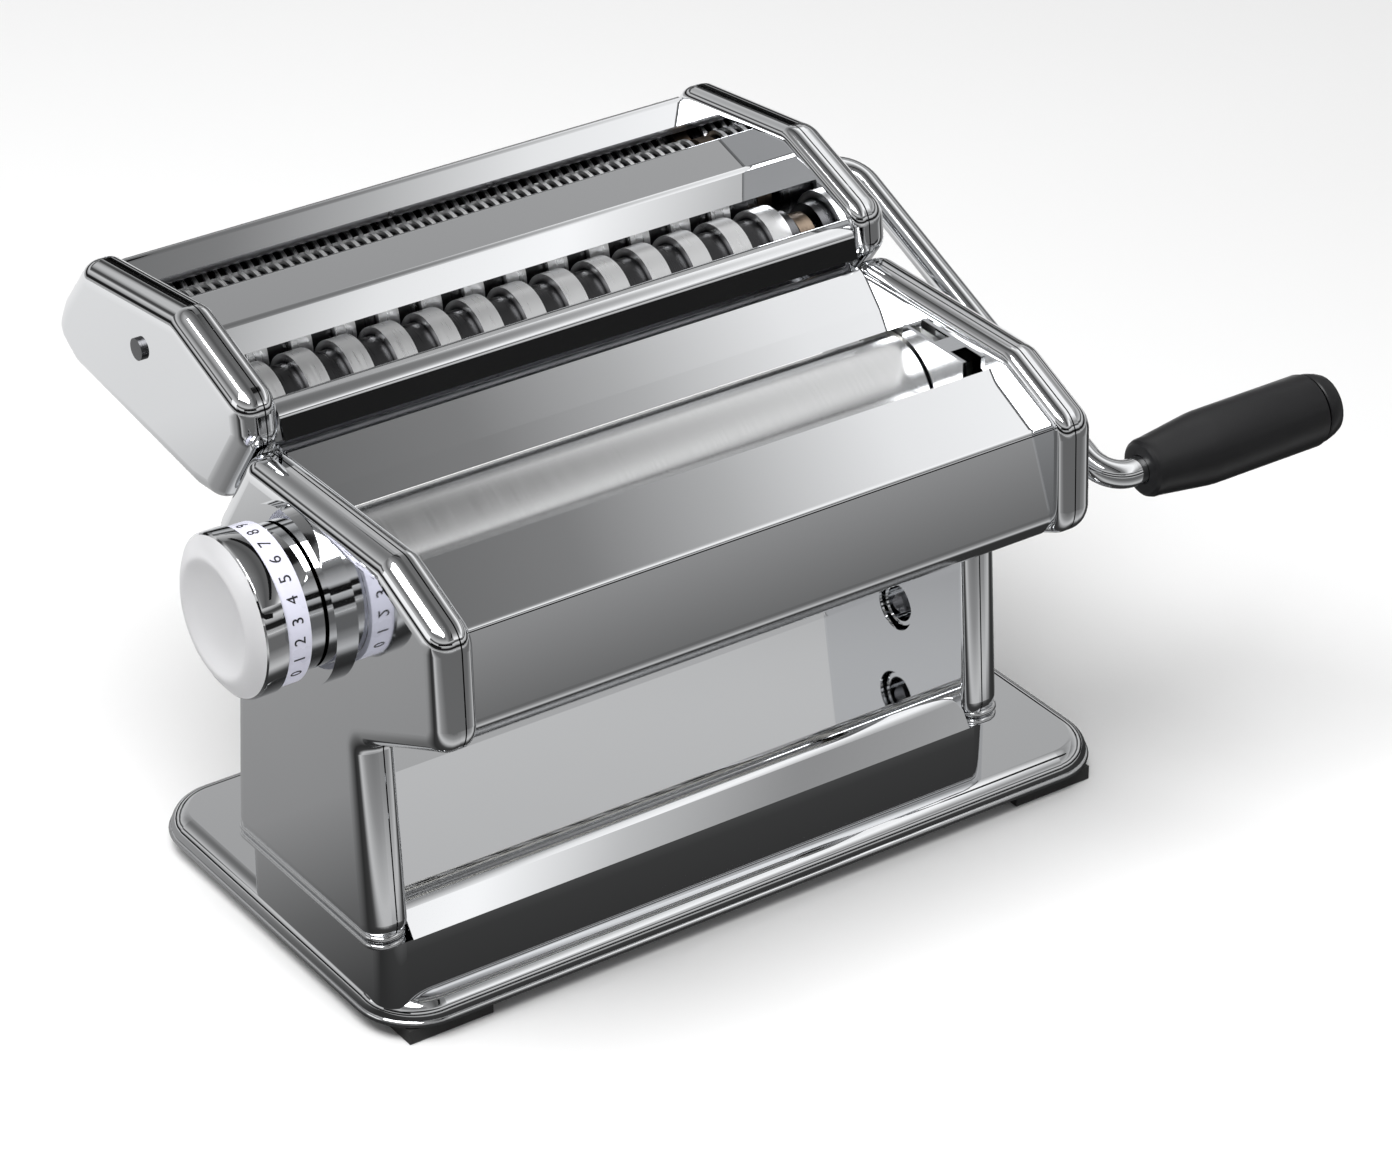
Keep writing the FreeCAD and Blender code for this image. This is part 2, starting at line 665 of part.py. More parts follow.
for name, side in (("left_bearing", -1), ("right_bearing", 1)):
    depth = "half_width + 5 - roller_half - 2.1" if side < 0 else "half_width + 3.4 - roller_half - 2.1"
    outer_x = "-(half_width + 5)" if side < 0 else "roller_half + 2.1"
    flange_x = "-(half_width - 0.4)" if side < 0 else "roller_half + 2.1"
    block = box(outer_x, "knob_y - block_half", "axis_z - block_half", depth,
                "2 * block_half", "2 * block_half")
    flange = box(flange_x, "knob_y - block_half - 1.6", "axis_z - 21",
                 "half_width - 0.4 - roller_half - 2.1", "block_half + 22", "34.6")
    bore = rod("journal_r + running", "-(half_width - 0.2)" if side < 0 else "roller_half",
               "half_width - roller_half" if side < 0 else "12", "knob_y", "axis_z")
    cuts = [bore]
    if side < 0:
        cuts.append(box("-(half_width + 6)", "knob_y - disc_r - slack",
                        "axis_z - disc_r - eccentric - loose", "5.6", "2 * (disc_r + slack)",
                        "2 * (disc_r + eccentric + loose)"))
    keep(name, cut(fuse(block, flange), *cuts))


def gear(name, x, y, z, tip, root, teeth, bore, line=0.0, root_half="1.5", tip_half="0.8",
         width="gear_width"):
    """A spur gear across X with a tooth pointing along the given direction, in degrees."""
    body = new_body(name, y, z)
    body.Placement.Rotation = FreeCAD.Rotation(FreeCAD.Vector(1, 0, 0), line)
    hub = new_sketch(body, "YZ_Plane", x)
    draw_circle(hub, "0", "0", root)
    draw_circle(hub, "0", "0", bore)
    pad(body, hub, width)
    tooth = new_sketch(body, "YZ_Plane", x)
    draw_polygon(tooth, [("%s - 0.4" % root, "-(%s)" % root_half), (tip, "-(%s)" % tip_half),
                         (tip, tip_half), ("%s - 0.4" % root, root_half)])
    first = pad(body, tooth, width)
    pattern_round_x(body, first, teeth)
    return keep(name, body)


# thin teeth, so that they still mesh freely when the rollers are closest
gear("front_gear", "gear_x", "front_y", "axis_z", "gear_tip", "gear_root", 16, "journal_r",
     root_half="1.12", tip_half="0.5")
gear("rear_gear", "gear_x", "knob_y", "axis_z", "gear_tip", "gear_root", 16, "journal_r",
     line=180.0 / 16, root_half="1.12", tip_half="0.5")

# ---------------------------------------------------------------------------
# Thickness knob
# ---------------------------------------------------------------------------
collar = rod("collar_r", "-(cover_face + 0.2 + collar_len)", "collar_len + 0.2", "knob_y", "axis_z")
hub = rod("shaft_r + 3", "-cover_face", "cover_face - half_width - 5.8", "knob_y", "axis_z")
collar_cuts = [rod("shaft_r + running", "-(cover_face + 5)", "20", "knob_y", "axis_z")]
for index in range(10):
    turn = "(90 + (%d - 4.5) * step_angle) * 1 deg" % index
    collar_cuts.append(rod("pin_r + 0.25", "-(cover_face + 5)", "5 - wall",
                           "knob_y + pin_ring * cos(%s)" % turn,
                           "axis_z + pin_ring * sin(%s)" % turn))
keep("index_collar", cut(fuse(collar, hub), *collar_cuts))

disc = rod("disc_r", "-(half_width + 5.2)", "4.4", "knob_y", "axis_z + eccentric")
stem = rod("shaft_r", "-(knob_in + 12)", "knob_in + 12 - half_width - 4.9", "knob_y", "axis_z")
keep("eccentric_shaft", fuse(stem, disc))

KNOB_END = "knob_in + knob_len"
knob_form = turned("knob_body", [
    ("-knob_in", "shaft_r + running"), ("-knob_in", "waist_r"),
    ("-(knob_in + waist_len)", "waist_r"), ("-(knob_in + waist_len)", "ring_r - 1.6"),
    ("-(%s - cap_len)" % KNOB_END, "ring_r - 1.6"), ("-(%s - cap_len)" % KNOB_END, "shaft_r + 4.5"),
    ("-(knob_in + 4)", "shaft_r + 4.5"), ("-(knob_in + 4)", "shaft_r + running")],
    "knob_y", "axis_z")
pin_hole = rod("pin_r", "-(knob_in + 4)", "6", "knob_y", "axis_z + pin_ring")
keep("knob_body", cut(knob_form, pin_hole))
keep("index_pin", rod("pin_r", "-(knob_in + 4)", "4.3", "knob_y", "axis_z + pin_ring"))
ring = cut(rod("ring_r", "-(knob_in + waist_len + ring_len)", "ring_len", "knob_y", "axis_z"),
           rod("ring_r - 1.6", "-(knob_in + waist_len + 1 + ring_len)", "ring_len + 2", "knob_y", "axis_z"))
keep("number_ring", ring)
keep("knob_cap", turned("knob_cap", [
    ("-(%s - 3.4)" % KNOB_END, "0"), ("-(%s - 3.4)" % KNOB_END, "12.6"),
    ("-(%s)" % KNOB_END, "16.0"), ("-(%s - 0.4)" % KNOB_END, "17.4"),
    ("-(%s - 4.2)" % KNOB_END, "knob_r"), ("-(%s - cap_len + 0.6)" % KNOB_END, "knob_r"),
    ("-(%s - cap_len)" % KNOB_END, "knob_r - 0.6"), ("-(%s - cap_len)" % KNOB_END, "shaft_r + 6"),
    ("-(%s - cap_len + 3)" % KNOB_END, "shaft_r + 6"), ("-(%s - cap_len + 3)" % KNOB_END, "0")],
    "knob_y", "axis_z"))

keep("knob_spring", cut(rod("shaft_r + 2.4", "-(knob_in + 11.6)", "7.5", "knob_y", "axis_z"),
                        rod("shaft_r + 1.2", "-(knob_in + 12)", "9", "knob_y", "axis_z")))
keep("spring_washer", bush("-(knob_in + 12)", "0.2 + 0.1", "shaft_r - running", "knob_y", "axis_z", "4"))

# ---------------------------------------------------------------------------
# Cutter: end plates, caps and bars
# ---------------------------------------------------------------------------
CUTTER_OUTLINE = [
    ("cut_top_y + 50.7", "cut_top_z - 5.9"), ("cut_top_y", "cut_top_z"),
    ("cut_top_y - 33", "cut_top_z - 12.2"), ("heel_y - 1", "crown_z + 2"),
    ("back_y - 2.2", "back_z + 5.4"), ("cut_top_y - 7", "cut_low_z"),
    ("cut_back_y - 12", "cut_low_z + 8"), ("cut_back_y", "cut_back_z"),
    ("cut_back_y - 6", "cut_back_z + 11.5"),
]
CUTTER_ROUNDS = {0: "7.5", 1: "10", 2: "7.5", 3: "6.5", 4: "6.5", 5: "7.5", 6: "7.5", 7: "7.5",
                 8: "7.5"}

for name, side in (("left_cutter_plate", -1), ("right_cutter_plate", 1)):
    drawn_shell(name, CUTTER_OUTLINE, CUTTER_ROUNDS, "half_width", "rim_depth", "rim_round",
                side, False)
for name, side in (("left_cutter_cap", -1), ("right_cutter_cap", 1)):
    drawn_shell(name, CUTTER_OUTLINE, CUTTER_ROUNDS, "cover_face", "cover_depth", "cover_round",
                side, True)

AXES = [("wide_y", "wide_z"), ("wide_in_y", "wide_in_z"), ("fine_y", "fine_z"),
        ("fine_in_y", "fine_in_z")]
CUTTER_TIES = [("cut_back_y - 19.5", "cut_top_z - 16.7"), ("wide_in_y + 13.5", "wide_in_z - 7.5"),
               ("cut_top_y - 27.8", "crown_z + 5")]
plate_holes = [(y, z, "neck_r + bush_wall") for y, z in AXES]
plate_holes += [(y, z, "2.25") for y, z in CUTTER_TIES]
drill(NODES["left_cutter_plate"], plate_holes)
drill(NODES["right_cutter_plate"], plate_holes)
CAP_SCREW = ("cut_top_y + 18.6", "cut_top_z - 17.8")
drill(NODES["right_cutter_cap"], [AXES[1] + ("hex_flats / 2 + 3",), AXES[3] + ("hex_flats / 2 + 3",),
                                  CAP_SCREW + ("1.8",)])
drill(NODES["left_cutter_cap"], [CAP_SCREW + ("1.8",)])

screws = []
for side in (-1, 1):
    head_x = "-(cover_face + 1.1)" if side < 0 else "cover_face"
    stem_x = "-cover_face" if side < 0 else "cover_face - 4.2"
    screws.append(fuse(rod("3.1", head_x, "1.1", *CAP_SCREW),
                       rod("1.7", stem_x, "4.2", *CAP_SCREW)))
keep("cap_screws", group(*screws))

rods = []
nuts = []
for y, z in CUTTER_TIES:
    middle = rod("2.6", "-half_width", "2 * half_width", y, z)
    thread = rod("2.2", "-(half_width + 3.4)", "2 * half_width + 6.8", y, z)
    rods.append(fuse(middle, thread))
    for x in ("-(half_width + wall) - 2.2", "half_width + wall"):
        nuts.append(cut(hexagon("5.5", x, "2.2", y, z), rod("2.25", x + " - 1", "5", y, z)))
keep("cutter_tie_rods", group(*rods))
keep("cutter_tie_nuts", group(*nuts))

folded_sheet("rear_bar", [
    ("cut_back_y - 3.5", "cut_back_z + 2"), ("cut_back_y - 5.2", "cut_back_z + 8.5"),
    ("cut_back_y - 18", "cut_top_z - 8.4"), ("fine_y + 7", "fine_z + 10.2"),
    ("fine_y + 12.5", "fine_z + 9"), ("cut_back_y - 12", "cut_back_z + 4")], 3,
    {1: "4", 2: "2"}, "half_width")
folded_sheet("centre_bar", [
    ("fine_y - 9.5", "fine_z + 6"), ("fine_y - 12", "cut_top_z - 11.2"), ("wide_in_y - 8.5", "wide_in_z + 13.4"),
    ("wide_y + 9.1", "wide_in_z + 6.4"), ("wide_in_y - 8.5", "wide_in_z + 12.4 - 3")], 3,
    {1: "2", 2: "2"}, "half_width")
folded_sheet("front_bar", [
    ("wide_y - 10.5", "wide_z + 8"), ("cut_top_y - 26.6", "cut_top_z - 16.8"),
    ("cut_top_y - 31.8", "cut_top_z - 17"), ("cut_top_y - 34.6", "crown_z + 0.7"),
    ("wide_y - 16", "wide_z + 6.4")], 3, {1: "3", 2: "4"}, "half_width")

# ---------------------------------------------------------------------------
# Cutting rollers, their bushes, gears and strippers
# ---------------------------------------------------------------------------
def ring_roller(name, y, z, core, outer, pitch, width, count, first_x, right_end):
    """A cutting roller: a core with evenly spaced rings."""
    body = turned(name, [
        ("-(half_width + 7.5)", "0"), ("-(half_width + 7.5)", "neck_r"), ("-cutter_half", "neck_r"),
        ("-cutter_half", core), ("cutter_half", core), ("cutter_half", "neck_r"),
        (right_end, "neck_r"), (right_end, "0")], y, z)
    ring_sketch = new_sketch(body, "YZ_Plane", first_x)
    draw_circle(ring_sketch, "0", "0", outer)
    first = pad(body, ring_sketch, width)
    pattern_along_x(body, first, pitch, count)
    return body


LONG_END = "cover_face - 0.6"
SHORT_END = "half_width + 6"
WIDE_HALF = int(num("(cutter_half - 2) / wide_pitch"))
FINE_HALF = int(num("(cutter_half - 2) / fine_pitch + 0.5"))
wide = [("wide_roller", AXES[0], "-%d * wide_pitch - 4.4" % WIDE_HALF, 2 * WIDE_HALF + 1,
         SHORT_END),
        ("wide_drive_roller", AXES[1], "-(%d - 0.5) * wide_pitch - 4.4" % WIDE_HALF,
         2 * WIDE_HALF, LONG_END)]
fine = [("fine_roller", AXES[2], "-(%d - 0.5) * fine_pitch" % FINE_HALF, 2 * FINE_HALF,
         SHORT_END),
        ("fine_drive_roller", AXES[3], "-(%d - 1) * fine_pitch" % FINE_HALF,
         2 * FINE_HALF - 1, LONG_END)]
for name, axis, first_x, count, right_end in wide:
    form = ring_roller(name, *axis, "wide_core", "wide_r", "wide_pitch", "wide_ring", count,
                       first_x, right_end)
    if right_end == LONG_END:
        form = cut(form, hexagon("hex_flats + 0.2", "%s - socket_len" % right_end,
                                 "socket_len + 1", *axis))
    keep(name, form)
for name, axis, first_x, count, right_end in fine:
    form = ring_roller(name, *axis, "fine_core", "fine_r", "fine_pitch", "fine_ring", count,
                       first_x, right_end)
    if right_end == LONG_END:
        form = cut(form, hexagon("hex_flats + 0.2", "%s - socket_len" % right_end,
                                 "socket_len + 1", *axis))
    keep(name, form)

bushes = []
for y, z in AXES:
    bushes.append(bush("-(half_width + wall)", "3.4", "neck_r", y, z))
    bushes.append(bush("half_width - 2.4", "3.4", "neck_r", y, z))
keep("cutter_bushes", group(*bushes))

WIDE_LINE = math.degrees(math.atan2(num("wide_dz"), num("wide_dy")))
FINE_LINE = math.degrees(math.atan2(num("fine_dz"), num("fine_dy")))
WIDE_TEETH = 16
FINE_TEETH = 14
LEFT_GEAR = "-(half_width + 7.4)"
RIGHT_GEAR = "half_width + 1.8"
WIDE_TIP = "wide_span / 2 + 1.17"
WIDE_ROOT = "wide_span / 2 - 1.63"
FINE_TIP = "fine_span / 2 + 0.9"
FINE_ROOT = "fine_span / 2 - 1.3"
gear("wide_gear", LEFT_GEAR, *AXES[0], WIDE_TIP, WIDE_ROOT, WIDE_TEETH, "neck_r",
     line=WIDE_LINE, root_half="1.1", tip_half="0.55")
gear("wide_drive_gear", LEFT_GEAR, *AXES[1], WIDE_TIP, WIDE_ROOT, WIDE_TEETH, "neck_r",
     line=WIDE_LINE + 180.0 + 180.0 / WIDE_TEETH, root_half="1.1", tip_half="0.55")
gear("fine_gear", RIGHT_GEAR, *AXES[2], FINE_TIP, FINE_ROOT, FINE_TEETH, "neck_r",
     line=FINE_LINE, root_half="0.85", tip_half="0.4")
gear("fine_drive_gear", RIGHT_GEAR, *AXES[3], FINE_TIP, FINE_ROOT, FINE_TEETH, "neck_r",
     line=FINE_LINE + 180.0 + 180.0 / FINE_TEETH, root_half="0.85", tip_half="0.4")

strip("wide_stripper", [
    ("wide_y - 3", "wide_z - 13.2"), ("wide_y - 3", "wide_z - 14.2"),
    ("wide_y + 5", "wide_z - 15.6"), ("wide_y + 5.2", "wide_z - 14.6")], "half_width")
strip("fine_stripper", [
    ("fine_y - 4", "fine_z - 9.6"), ("fine_y - 4.2", "fine_z - 10.6"),
    ("fine_y + 4", "fine_z - 11.6"), ("fine_y + 4.2", "fine_z - 10.6")], "half_width")

# ---------------------------------------------------------------------------
# Crank, plugged into the wide cutter's drive socket
# ---------------------------------------------------------------------------
CRANK_LEN = "sqrt(crank_dy * crank_dy + crank_dz * crank_dz)"
crank_turn = math.degrees(math.atan2(num("crank_dz"), num("crank_dy")))
rod_body = doc.addObject("PartDesign::Body", "crank_rod_body")
path = new_sketch(rod_body, "XY_Plane")
HEX_END = "cover_face + 3"
GRIP_TAIL = "grip_x + 50"
corners = [(HEX_END, "0"), ("crank_x - crank_bend", "0"), ("crank_x", "crank_bend"),
           ("crank_x", "%s - crank_bend" % CRANK_LEN), ("crank_x + crank_bend", CRANK_LEN),
           (GRIP_TAIL, CRANK_LEN)]
spots = [FreeCAD.Vector(num(across), num(up), 0) for across, up in corners]
bend = num("crank_bend")
quarter = math.sqrt(0.5)
first_mid = FreeCAD.Vector(spots[1].x + bend * quarter, bend * (1 - quarter), 0)
second_mid = FreeCAD.Vector(spots[4].x - bend * quarter, spots[4].y - bend * (1 - quarter), 0)
path.addGeometry(Part.LineSegment(spots[0], spots[1]), False)
path.addGeometry(Part.Arc(spots[1], first_mid, spots[2]), False)
path.addGeometry(Part.LineSegment(spots[2], spots[3]), False)
path.addGeometry(Part.Arc(spots[3], second_mid, spots[4]), False)
path.addGeometry(Part.LineSegment(spots[4], spots[5]), False)
path.addConstraint(Sketcher.Constraint("Tangent", 0, 2, 1, 1))
path.addConstraint(Sketcher.Constraint("Tangent", 1, 2, 2, 1))
path.addConstraint(Sketcher.Constraint("Tangent", 2, 2, 3, 2))
path.addConstraint(Sketcher.Constraint("Tangent", 3, 1, 4, 1))
doc.recompute()
section = new_sketch(rod_body, "YZ_Plane", HEX_END)
draw_circle(section, "0", "0", "rod_r")
sweep = rod_body.newObject("PartDesign::AdditivePipe", "AdditivePipe")
sweep.Profile = section
sweep.Spine = (path, ["Edge%d" % (index + 1) for index in range(5)])
rod_body.Placement.Rotation = FreeCAD.Rotation(FreeCAD.Vector(1, 0, 0), crank_turn)
place(rod_body, "0", "wide_in_y", "wide_in_z")
doc.recompute()
plug = hexagon("hex_flats", "%s - socket_len + 1" % LONG_END, "%s + 0.2 - (%s - socket_len + 1)"
               % (HEX_END, LONG_END), "wide_in_y", "wide_in_z")
keep("crank_rod", fuse(rod_body, plug))

GRIP_AXIS = ("wide_in_y + crank_dy", "wide_in_z + crank_dz")
keep("crank_grip", turned("crank_grip", [
    ("grip_x", "rod_r + running + 0.05"), ("grip_x", "grip_nose_r - 0.8"),
    ("grip_x + 0.8", "grip_nose_r"), ("grip_x + 3", "grip_nose_r"),
    ("grip_x + 21", "grip_r"), ("grip_x + grip_len - 1", "grip_r"),
    ("grip_x + grip_len", "grip_r - 0.6"), ("grip_x + grip_len", "rod_r + 3"),
    ("grip_x + 50", "rod_r + 3"), ("grip_x + 50", "rod_r + running + 0.05")], *GRIP_AXIS))
keep("grip_cap", turned("grip_cap", [
    ("grip_x + grip_len - 3", "0"), ("grip_x + grip_len - 3", "rod_r + 3"),
    ("grip_x + grip_len", "rod_r + 3"), ("grip_x + grip_len", "grip_r - 0.6"),
    ("grip_x + grip_len + 5", "grip_r - 1.4"), ("grip_x + grip_len + 7", "grip_r - 3.4"),
    ("grip_x + grip_len + 7", "0")], *GRIP_AXIS))
keep("grip_washer", rod("rod_r + 2.2", "grip_x + 50.3", "2", *GRIP_AXIS))

# ---------------------------------------------------------------------------
# Check and write every sub-part
# ---------------------------------------------------------------------------
doc.recompute()
for thing in doc.Objects:
    if "Invalid" in thing.State or "Error" in thing.State:
        raise ValueError("%s does not build" % thing.Name)

os.makedirs("parts", exist_ok=True)
for name, thing in sorted(NODES.items()):
    if thing.Shape.isNull() or not thing.Shape.isValid():
        raise ValueError("%s is not a valid solid" % name)
    thing.Shape.exportStep("parts/%s.step" % name)
print("%d sub-parts written" % len(NODES))
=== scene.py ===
"""Studio scene of a hand-cranked pasta machine: finishes, detailed pieces, light and camera."""
import json
import math

import bpy
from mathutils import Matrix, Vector


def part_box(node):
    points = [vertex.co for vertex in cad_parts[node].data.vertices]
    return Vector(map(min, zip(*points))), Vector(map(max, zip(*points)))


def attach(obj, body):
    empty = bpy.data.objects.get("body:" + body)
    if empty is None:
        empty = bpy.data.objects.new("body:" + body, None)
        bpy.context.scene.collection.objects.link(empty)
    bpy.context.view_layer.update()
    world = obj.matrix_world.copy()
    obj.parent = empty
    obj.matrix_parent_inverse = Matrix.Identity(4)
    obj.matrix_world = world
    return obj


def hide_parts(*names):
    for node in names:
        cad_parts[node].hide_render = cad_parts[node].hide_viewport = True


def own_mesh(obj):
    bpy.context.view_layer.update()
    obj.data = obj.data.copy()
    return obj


bl_info = {
    "name": "Pasta Machine Studio",
    "version": (1, 0, 0),
    "blender": (4, 5, 0),
    "location": "View3D > Sidebar > Pasta",
    "description": "Finishes, detailed pieces and a studio for a pasta machine",
    "category": "Object",
}

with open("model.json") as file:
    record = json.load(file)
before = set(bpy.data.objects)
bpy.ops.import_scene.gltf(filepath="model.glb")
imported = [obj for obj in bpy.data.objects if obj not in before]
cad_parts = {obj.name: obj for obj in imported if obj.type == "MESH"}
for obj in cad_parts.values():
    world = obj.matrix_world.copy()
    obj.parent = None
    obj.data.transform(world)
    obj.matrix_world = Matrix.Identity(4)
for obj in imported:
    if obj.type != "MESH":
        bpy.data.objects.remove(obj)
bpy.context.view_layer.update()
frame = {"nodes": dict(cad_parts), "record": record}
RECORD = frame["record"]
MM = 0.001


# ---------------------------------------------------------------------------
# Settings
# ---------------------------------------------------------------------------
class MetalSettings(bpy.types.PropertyGroup):
    mirror_tint: bpy.props.FloatVectorProperty(
        name="Mirror tint", description="Colour of the polished sheet steel",
        subtype="COLOR", size=3, default=(0.83, 0.84, 0.855), min=0, max=1)
    mirror_rough: bpy.props.FloatProperty(
        name="Mirror roughness", description="Blur of the reflections in the polished sheet",
        default=0.045, min=0.0, max=1.0)
    satin_tint: bpy.props.FloatVectorProperty(
        name="Satin tint", description="Colour of the turned aluminium rollers",
        subtype="COLOR", size=3, default=(0.74, 0.745, 0.75), min=0, max=1)
    satin_rough: bpy.props.FloatProperty(
        name="Satin roughness", description="Blur of the reflections in the rollers",
        default=0.24, min=0.0, max=1.0)


class GripSettings(bpy.types.PropertyGroup):
    tint: bpy.props.FloatVectorProperty(
        name="Grip colour", description="Colour of the plastic grip",
        subtype="COLOR", size=3, default=(0.006, 0.006, 0.007), min=0, max=1)
    gap: bpy.props.FloatProperty(
        name="Cap groove", description="Width of the groove before the grip's end cap",
        default=0.8 * MM, min=0, subtype="DISTANCE", unit="LENGTH")


class NumberSettings(bpy.types.PropertyGroup):
    height: bpy.props.FloatProperty(
        name="Number height", description="Height of the numbers on the knob's ring",
        default=4.6 * MM, min=0.001, subtype="DISTANCE", unit="LENGTH")
    pitch: bpy.props.FloatProperty(
        name="Number pitch", description="Angle between two numbers",
        default=math.radians(15), subtype="ANGLE", unit="ROTATION")


class StudioSettings(bpy.types.PropertyGroup):
    floor: bpy.props.FloatVectorProperty(
        name="Floor colour", description="Colour of the plain floor",
        subtype="COLOR", size=3, default=(0.9, 0.9, 0.9), min=0, max=1)
    key: bpy.props.FloatProperty(
        name="Key light", description="Power of the overhead light", default=24.0, min=0,
        unit="POWER")
    lens: bpy.props.FloatProperty(
        name="Lens", description="Focal length of the camera", default=128.6, min=1)


# ---------------------------------------------------------------------------
# Finishes, with painted shade in the gaps of the cutting rollers
# ---------------------------------------------------------------------------
def node_tree(name):
    """A new material with a Principled shader; returns material, tree and shader."""
    material = bpy.data.materials.new(name)
    material.use_nodes = True
    tree = material.node_tree
    return material, tree, tree.nodes["Principled BSDF"]


def noise(tree, scale, stretch, detail=3.0):
    """Noise in the piece's own space, stretched by a factor along each axis."""
    place = tree.nodes.new("ShaderNodeTexCoord")
    mapping = tree.nodes.new("ShaderNodeMapping")
    mapping.inputs["Scale"].default_value = stretch
    pattern = tree.nodes.new("ShaderNodeTexNoise")
    pattern.inputs["Scale"].default_value = scale
    pattern.inputs["Detail"].default_value = detail
    tree.links.new(place.outputs["Object"], mapping.inputs["Vector"])
    tree.links.new(mapping.outputs["Vector"], pattern.inputs["Vector"])
    return pattern


def ramp(tree, source, low, high, start=0.0, end=1.0):
    """Spread a grey pattern between two colours or two grey values."""
    colours = tree.nodes.new("ShaderNodeValToRGB")
    colours.color_ramp.elements[0].position = start
    colours.color_ramp.elements[1].position = end
    colours.color_ramp.elements[0].color = tuple(low) + (1,)
    colours.color_ramp.elements[1].color = tuple(high) + (1,)
    tree.links.new(source.outputs["Fac"], colours.inputs["Fac"])
    return colours


def grey(value):
    return (value, value, value)


def bumped(tree, shader, source, height, distance=0.0002):
    bump = tree.nodes.new("ShaderNodeBump")
    bump.inputs["Strength"].default_value = height
    bump.inputs["Distance"].default_value = distance
    tree.links.new(source.outputs["Fac"], bump.inputs["Height"])
    tree.links.new(bump.outputs["Normal"], shader.inputs["Normal"])


def metal(name, tint, rough, spread, scale, stretch, wave=0.0):
    """A metal whose polish varies a little over its surface."""
    material, tree, shader = node_tree(name)
    shader.inputs["Metallic"].default_value = 1.0
    pattern = noise(tree, scale, stretch)
    low = tuple(channel * 0.96 for channel in tint)
    colours = ramp(tree, pattern, low, tint)
    tree.links.new(colours.outputs["Color"], shader.inputs["Base Color"])
    polish = ramp(tree, pattern, grey(max(rough - spread, 0.0)), grey(rough + spread), 0.3, 0.7)
    tree.links.new(polish.outputs["Color"], shader.inputs["Roughness"])
    if wave:
        bumped(tree, shader, noise(tree, scale, stretch, 2.0), wave)
    return material


def plastic(name, tint, rough, spread, scale, grain=0.0):
    """A moulded plastic or rubber with a fine grain."""
    material, tree, shader = node_tree(name)
    pattern = noise(tree, scale, (1, 1, 1), 4.0)
    low = tuple(channel * 0.82 for channel in tint)
    colours = ramp(tree, pattern, low, tint)
    tree.links.new(colours.outputs["Color"], shader.inputs["Base Color"])
    polish = ramp(tree, pattern, grey(rough - spread), grey(rough + spread), 0.3, 0.7)
    tree.links.new(polish.outputs["Color"], shader.inputs["Roughness"])
    if grain:
        bumped(tree, shader, noise(tree, scale * 6, (1, 1, 1), 2.0), grain, 0.00005)
    return material


FINISHES = {}
# radius of the gaps between a cutting roller's rings, as a share of the rings' radius; painted
# shade colours the roller near black inside just above this radius, fading to the tint a little
# further out
GAP_SHADE_SHARE = 0.8


def ringed(name, shade_radius_share, tint):
    """Satin metal on a roller's rings, with painted shade: the gaps between the rings are coloured
    near black.
    """
    low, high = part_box(name)
    middle = (low + high) / 2
    radius = (high.z - low.z) / 2
    material = metal("turned rings with painted gap shade of " + name, tint, 0.3, 0.04, 200, (8, 0.5, 0.5), 0.03)
    tree = material.node_tree
    shader = tree.nodes["Principled BSDF"]
    place = tree.nodes.new("ShaderNodeTexCoord")
    centred = tree.nodes.new("ShaderNodeMapping")
    centred.inputs["Location"].default_value = (0, -middle.y, -middle.z)
    centred.inputs["Scale"].default_value = (0, 1, 1)
    distance = tree.nodes.new("ShaderNodeVectorMath")
    distance.operation = "LENGTH"
    spread = tree.nodes.new("ShaderNodeMapRange")
    spread.inputs["From Min"].default_value = radius * (shade_radius_share + 0.02)
    spread.inputs["From Max"].default_value = radius * (shade_radius_share + 0.12)
    # painted shade: this ramp colours the gaps between the rings near black and the rings with the
    # tint
    gap_shade_tones = tree.nodes.new("ShaderNodeValToRGB")
    gap_shade_tones.color_ramp.elements[0].color = (0.05, 0.05, 0.052, 1)
    gap_shade_tones.color_ramp.elements[1].color = tuple(tint) + (1,)
    tree.links.new(place.outputs["Object"], centred.inputs["Vector"])
    tree.links.new(centred.outputs["Vector"], distance.inputs[0])
    tree.links.new(distance.outputs["Value"], spread.inputs["Value"])
    tree.links.new(spread.outputs["Result"], gap_shade_tones.inputs["Fac"])
    tree.links.new(gap_shade_tones.outputs["Color"], shader.inputs["Base Color"])
    FINISHES[name] = material


